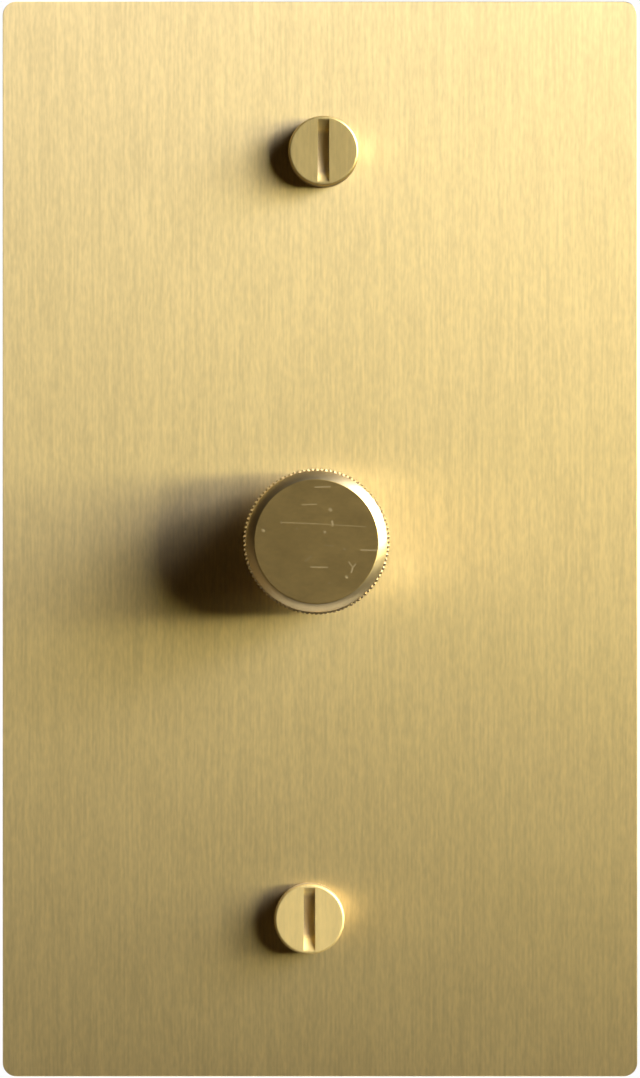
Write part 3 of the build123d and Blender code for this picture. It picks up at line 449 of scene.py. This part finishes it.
KNURL_COUNT = 50
KNURL_ANGLE = math.radians(30)
KNURL_DEPTH = 0.4 * MM
KNURL_FLAT = 0.22
KNURL_SAMPLES = 12
FACE_RADIUS = 6.62 * MM
COLLAR_RADIUS = 7.53 * MM
COLLAR_LENGTH = 0.1 * MM
SHOULDER_SLOPE = 0.4
BACK_CHAMFER = 0.4 * MM
NUT_WIDTH = 10 * MM
NUT_CLEARANCE = 0.4 * MM
RECESS_RADIUS = NUT_WIDTH / 2 / math.cos(math.pi / 6) + NUT_CLEARANCE
RECESS_FLOOR = -8.1 * MM
BORE_END = -12.73 * MM
BORE_RADIUS = 3.03 * MM
BORE_FLAT = -1.53 * MM
GRUB_DEPTH = -10.4 * MM
GRUB_RADIUS = 1.53 * MM
EDGE_BREAK = 0.07 * MM
BORE_SEGMENTS = 128
GRUB_SEGMENTS = 48


def knurl_cut(angle, depth):
    """How deep the crossing grooves are at this place, from 0 on a crest to 1 in a groove."""
    crest_radius = knob_high.x
    along = (depth - knob_low.y) * math.tan(KNURL_ANGLE) / (2 * math.pi * crest_radius / KNURL_COUNT)
    around = KNURL_COUNT * angle / (2 * math.pi)
    deepest = 0.0
    for position in (around + along, around - along):
        reach = abs(2 * (position % 1.0) - 1)
        deepest = max(deepest, (reach - KNURL_FLAT) / (1 - KNURL_FLAT))
    return deepest


def build_knob():
    """The knurled knob, hollow behind for the nut, with its bore and the hole of its grub screw."""
    crest = knob_high.x
    front, back = knob_low.y, knob_high.y
    chamfer_rise = COLLAR_RADIUS - FACE_RADIUS
    shoulder = front + CHAMFER_DEPTH + COLLAR_LENGTH
    back_root = crest - KNURL_DEPTH - BACK_CHAMFER
    count = KNURL_COUNT * KNURL_SAMPLES
    step = 2 * math.pi * crest / count

    def profile(depth):
        """The turned outline that cuts through the knurling."""
        back_limit = back_root + (back - depth)
        if depth > shoulder:
            return min(crest, COLLAR_RADIUS + SHOULDER_SLOPE * (depth - shoulder), back_limit)
        return min(COLLAR_RADIUS, FACE_RADIUS + (depth - front) * chamfer_rise / CHAMFER_DEPTH)

    def knurled(depth):
        outline = profile(depth)
        return ring(lambda angle: min(outline, crest - KNURL_DEPTH * knurl_cut(angle, depth)), depth, count)

    rings = [ring(FACE_RADIUS - EDGE_BREAK, front, count)]
    rings.append(ring(FACE_RADIUS - EDGE_BREAK * 0.3, front + EDGE_BREAK * 0.25, count))
    for reach in (EDGE_BREAK, chamfer_rise - EDGE_BREAK / 2):
        depth = front + reach * CHAMFER_DEPTH / chamfer_rise
        rings.append(ring(FACE_RADIUS + reach, depth, count))
    rings.append(ring(COLLAR_RADIUS, shoulder - COLLAR_LENGTH + EDGE_BREAK / 2, count))
    rings.append(ring(COLLAR_RADIUS, shoulder, count))
    depth = shoulder + step / 2
    while depth < back:
        rings.append(knurled(depth))
        depth += step
    rings.append(knurled(back))
    piece = new_piece("knurled_knob", grid_mesh("knurled_knob", rings), "control", "knob_brass", "knob")

    recess = [ring(RECESS_RADIUS, depth, BORE_SEGMENTS) for depth in (RECESS_FLOOR, back + MM)]
    cut_away(piece, grid_mesh("recess", recess))

    def d_shape(angle):
        if math.sin(angle) < 0:
            return min(BORE_RADIUS, BORE_FLAT / math.sin(angle))
        return BORE_RADIUS

    bore = [ring(d_shape, depth, BORE_SEGMENTS) for depth in (BORE_END, RECESS_FLOOR + MM)]
    cut_away(piece, grid_mesh("bore", bore))
    hole = [ring(GRUB_RADIUS, depth, GRUB_SEGMENTS) for depth in (0, crest + MM)]
    grub_hole = grid_mesh("grub_hole", hole)
    grub_hole.transform(Matrix.Translation((0, GRUB_DEPTH, 0)) @ Matrix.Rotation(-math.pi / 2, 4, "X"))
    cut_away(piece, grub_hole)
    smooth_by_angle(piece, KNOB_SMOOTH_DEGREES)
    flatten_front(piece)


build_knob()


# Wall screws

SCREW_THREAD_RADIUS = 1.75 * MM
SCREW_NECK_RADIUS = 1.4 * MM
SCREW_NECK_LENGTH = 4.0 * MM
SCREW_NECK_FLARE = 0.3 * MM
SCREW_PITCH = 0.79 * MM
SCREW_TIP = 0.4 * MM
SCREW_HEAD_EDGE = 0.25 * MM
SCREW_HEAD_STEPS = 5
SCREW_HEAD_SEAT = 0.08 * MM
SCREW_SEGMENTS = 160
PITCH_STEPS = 8
SLOT_WIDTH = 1.25 * MM
SLOT_LENGTH = 6.8 * MM
SLOT_DEPTH = 0.75 * MM
SLOT_BEVEL = 0.09 * MM
SLOT_SEGMENTS = 256

# The screws' faces aren't quite square to the plate: the upper one's looks up, the lower one's down.
UPPER_TILT = math.radians(-1.5)
LOWER_TILT = math.radians(3)


def thread_rings(middle, start, end):
    """Rings whose radius follows a V thread, run out at both ends."""
    rings = []
    pitch, crest = SCREW_PITCH, SCREW_THREAD_RADIUS
    thread_depth = SCREW_THREAD_RADIUS - SCREW_NECK_RADIUS
    steps = int((end - start) / (pitch / PITCH_STEPS))
    for row in range(steps + 1):
        place = start + (end - start) * row / steps
        run_out = min(1.0, (place - start) / pitch, (end - place) / pitch)

        def reach(angle, place=place, run_out=run_out):
            phase = (place / pitch - angle / (2 * math.pi)) % 1.0
            return crest - thread_depth * (1 - run_out * (1 - abs(2 * phase - 1)))

        rings.append(ring(reach, place, SCREW_SEGMENTS, middle))
    return rings


def build_screw(node, tilt, material):
    """A cheese head screw whose face leans by a small angle about X."""
    low, high, middle = corners(node)
    centre = (middle.x, middle.z)
    radius = (high.x - low.x) / 2
    seat = plate_low.y
    front = low.y
    edge = SCREW_HEAD_EDGE
    count = SCREW_SEGMENTS

    def leaned(points):
        return [(x, y + math.tan(tilt) * (z - middle.z), z) for x, y, z in points]

    rings = [leaned(ring(radius - edge, front, count, centre))]
    for part in range(1, SCREW_HEAD_STEPS + 1):
        turn = part / SCREW_HEAD_STEPS * math.pi / 2
        reach = radius - edge + edge * math.sin(turn)
        rings.append(leaned(ring(reach, front + edge * (1 - math.cos(turn)), count, centre)))
    rings.append(ring(radius, seat - SCREW_HEAD_SEAT, count, centre))
    rings.append(ring(radius - SCREW_HEAD_SEAT, seat, count, centre))
    rings.append(ring(SCREW_NECK_RADIUS, seat, count, centre))
    neck_end = seat + SCREW_NECK_LENGTH
    rings.append(ring(SCREW_NECK_RADIUS, neck_end - SCREW_NECK_FLARE, count, centre))
    rings += thread_rings(centre, neck_end, high.y - SCREW_TIP)
    rings.append(ring(SCREW_NECK_RADIUS - SCREW_TIP, high.y, count, centre))
    mesh = grid_mesh(node, rings)
    piece = new_piece(node + "_turned", mesh, "wall_unit", "screw_brass", node, material=material)

    arc = (SLOT_LENGTH**2 / 4 + SLOT_DEPTH**2) / (2 * SLOT_DEPTH)
    sides = (-SLOT_WIDTH / 2, SLOT_WIDTH / 2)
    wheel = grid_mesh("slot", [ring(arc, side, SLOT_SEGMENTS) for side in sides])
    wheel.transform(Matrix.Rotation(math.pi / 2, 4, "Z"))
    wheel.transform(Matrix.Translation((0, SLOT_DEPTH - arc, 0)))
    wheel.transform(Matrix.Translation((middle.x, front, middle.z)) @ Matrix.Rotation(-tilt, 4, "X"))
    cut_away(piece, wheel)
    bevel = piece.modifiers.new("bevel", "BEVEL")
    bevel.width = SLOT_BEVEL
    bevel.segments = 2
    bevel.limit_method = "ANGLE"
    bevel.angle_limit = math.radians(SLOT_BEVEL_DEGREES)
    apply_modifiers(piece)
    smooth_by_angle(piece, SCREW_SMOOTH_DEGREES)
    flatten_front(piece, tilt)


# Painted light: the lower screw's brass is a lighter copy of the upper one's, and rougher.
painted_light_screw_brass = brushed_brass("painted_light_screw_brass", PAINTED_LIGHT_SCREW_BRASS, 0.63, 0.2, 0.04, head_shade_from)
build_screw("upper_screw", UPPER_TILT, MATERIALS["screw_brass"])
build_screw("lower_screw", LOWER_TILT, painted_light_screw_brass)


# Face plate

PLATE_EDGE_BREAK = 0.06 * MM
RIM_SHARE = 0.9
FLUSH = 0.01 * MM


def build_plate():
    """The CAD plate with its front edge broken as finely as the real one's."""
    low, high, middle = corners("face_plate")
    mesh = node_mesh("face_plate")

    def on_rim(place):
        across = abs(place.x - middle.x) / (high.x - middle.x)
        up = abs(place.z - middle.z) / (high.z - middle.z)
        return max(across, up) > RIM_SHARE

    rim = [vertex.co for vertex in mesh.vertices if on_rim(vertex.co)]
    front = [place for place in rim if place.y < low.y + FLUSH]
    sides = [place for place in rim if low.y + FLUSH < place.y < middle.y]
    for place in front:
        nearest = min(sides, key=lambda side: (side.x - place.x) ** 2 + (side.z - place.z) ** 2)
        share = PLATE_EDGE_BREAK / (nearest.y - low.y)
        place.x += (nearest.x - place.x) * (1 - share)
        place.z += (nearest.z - place.z) * (1 - share)
    for place in sides:
        place.y = low.y + PLATE_EDGE_BREAK
    new_piece("brushed_plate", mesh, "wall_unit", "plate_brass", "face_plate")


build_plate()


# Return spring


def build_return_spring():
    """The push switch's coil spring, which the plunger pushes against, as a plain copy of the CAD node's
    mesh.
    """
    mesh = node_mesh("return_spring")
    piece = new_piece("coiled_spring", mesh, "wall_unit", "spring_steel", "return_spring")
    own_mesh(piece)


build_return_spring()


# Floor, world, lights and camera

FLOOR_HEIGHT = plate_low.z - 120 * MM
FLOOR_RADIUS = 220 * MM
FLOOR_FRONT = 50 * MM
FLOOR_SEGMENTS = 96
FLOOR_COLOUR = rgb(0.52, 0.51, 0.49)
FLOOR_FADE = (0.4 * FLOOR_RADIUS, 0.95 * FLOOR_RADIUS)
WHITE = rgb(1, 1, 1)

# The room in front: dark brown below, grey above, and paler towards the lower left.
ROOM_LOW = rgb(0.018, 0.011, 0.004)
ROOM_HIGH = rgb(0.04, 0.034, 0.025)
ROOM_LOWER_LEFT = rgb(0.2, 0.15, 0.09)
LOWER_LEFT = (-0.8, 0, -0.6)

# Where the world turns white, grey and paler, as parts of a unit direction.
BEHIND_FADE = (0.5, 0.75)
HEIGHT_FADE = (0.3, 1.0)
LOWER_LEFT_FADE = (0.75, 1.0)

# A tall window at the right, as bands with a low and high edge, a strength in W/m2 and a colour.
WINDOW_DISTANCE = 0.9
WINDOW_MIDDLE = -0.45
WINDOW_WIDTH = 1.29
WINDOW_BANDS = (
    ("window_low", 0.0, 0.1, 48, (1, 0.91, 0.5)),
    ("window_middle", 0.1, 0.3, 20, (1, 0.99, 0.85)),
    ("window_high", 0.3, 1.05, 25, (1, 1.0, 1.17)),
)

# Smaller lamps that face the knob: place, width and height, power in W and colour.
LAMPS = (
    ("sky", (0.78, -0.33, 0.46), (0.39, 0.39), 10, (1, 1.01, 1.12)),
    ("back", (-0.6, 1.1, 0.7), (0.8, 0.8), 3, (1, 1, 1)),
    ("rim_top", (0, 0.45, 0.8), (0.5, 0.25), 2.5, (1, 1, 1)),
    ("rim_left", (-0.75, 0.52, 0), (0.25, 0.5), 3.5, (1, 1, 1)),
)

CAMERA_DISTANCE = 450 * MM
VIEW_HEIGHT = 117.53 * MM
SENSOR = 36.0


def build_floor():
    """A pale round floor that turns as white as the backdrop towards its edge."""
    shape = bmesh.new()
    bmesh.ops.create_circle(shape, cap_ends=True, radius=FLOOR_RADIUS, segments=FLOOR_SEGMENTS)
    mesh = bpy.data.meshes.new("floor")
    shape.to_mesh(mesh)
    shape.free()
    floor = bpy.data.objects.new("floor", mesh)
    floor.location = (0, FLOOR_RADIUS - FLOOR_FRONT, FLOOR_HEIGHT)
    bpy.context.scene.collection.objects.link(floor)
    material, nodes, shader = new_material("pale_floor")
    fill(nodes, shader, base_color=FLOOR_COLOUR, roughness=0.8)
    seen = nodes.add("LightPath").outputs["Is Camera Ray"]
    place = nodes.add("TexCoord").outputs["Object"]
    reach = nodes.vector("LENGTH", place).outputs["Value"]
    fade = nodes.ramp(reach, *FLOOR_FADE)
    white = nodes.add("Emission", {"Color": WHITE, "Strength": 1.0})
    mix = nodes.add("MixShader")
    nodes.join(nodes.math("MULTIPLY", seen, fade), mix.inputs[0])
    nodes.join(shader.outputs[0], mix.inputs[1])
    nodes.join(white.outputs[0], mix.inputs[2])
    output = next(n for n in nodes.tree.nodes if n.type == "OUTPUT_MATERIAL")
    nodes.join(mix.outputs[0], output.inputs["Surface"])
    mesh.materials.append(material)


def build_world():
    """White behind the object and where the camera looks, dim and warm in front of it."""
    world = bpy.data.worlds.new("studio")
    bpy.context.scene.world = world
    world.use_nodes = True
    world.node_tree.nodes.clear()
    nodes = Nodes(world.node_tree)
    way = nodes.add("TexCoord").outputs["Generated"]
    parts = nodes.add("SeparateXYZ", {"Vector": way})
    path = nodes.add("LightPath")
    behind = nodes.ramp(parts.outputs["Y"], *BEHIND_FADE)
    mirrored = nodes.math("MAXIMUM", path.outputs["Is Glossy Ray"], path.outputs["Is Transmission Ray"])
    seen = nodes.math("MAXIMUM", path.outputs["Is Camera Ray"], nodes.math("MULTIPLY", mirrored, behind))
    height = nodes.ramp(parts.outputs["Z"], *HEIGHT_FADE)
    room = nodes.blend(height, ROOM_LOW, ROOM_HIGH)
    lower_left = nodes.vector("DOT_PRODUCT", way, LOWER_LEFT).outputs["Value"]
    room = nodes.blend(nodes.ramp(lower_left, *LOWER_LEFT_FADE), room, ROOM_LOWER_LEFT)
    colour = nodes.blend(seen, room, WHITE)
    background = nodes.add("Background", {"Color": colour, "Strength": 1.0})
    output = nodes.add("OutputWorld")
    nodes.join(background.outputs[0], output.inputs["Surface"])


def area_light(name, place, target, size, power, colour):
    """A rectangular lamp, size wide and high, facing its target."""
    data = bpy.data.lights.new(name, "AREA")
    data.shape = "RECTANGLE"
    data.size, data.size_y = size
    data.energy = power
    data.color = colour
    lamp = bpy.data.objects.new(name, data)
    lamp.location = place
    lamp.rotation_euler = (Vector(target) - Vector(place)).to_track_quat("-Z", "Y").to_euler()
    bpy.context.scene.collection.objects.link(lamp)


def build_lights():
    for name, low, high, strength, colour in WINDOW_BANDS:
        height = (low + high) / 2
        place, target = (WINDOW_DISTANCE, WINDOW_MIDDLE, height), (0, WINDOW_MIDDLE, height)
        power = strength * WINDOW_WIDTH * (high - low)
        area_light(name, place, target, (WINDOW_WIDTH, high - low), power, colour)
    for name, place, size, power, colour in LAMPS:
        area_light(name, place, (0, 0, 0), size, power, colour)


def build_camera():
    """A camera square to the plate, on its middle."""
    data = bpy.data.cameras.new("camera")
    data.sensor_width = SENSOR
    data.lens = SENSOR * CAMERA_DISTANCE / VIEW_HEIGHT
    data.clip_start, data.clip_end = 0.01, 10.0
    camera = bpy.data.objects.new("camera", data)
    camera.location = (plate_middle.x, plate_low.y - CAMERA_DISTANCE, plate_middle.z)
    camera.rotation_euler = (math.pi / 2, 0, 0)
    bpy.context.scene.collection.objects.link(camera)
    bpy.context.scene.camera = camera


build_floor()
build_world()
build_lights()
build_camera()
bpy.context.scene.view_settings.view_transform = "Standard"
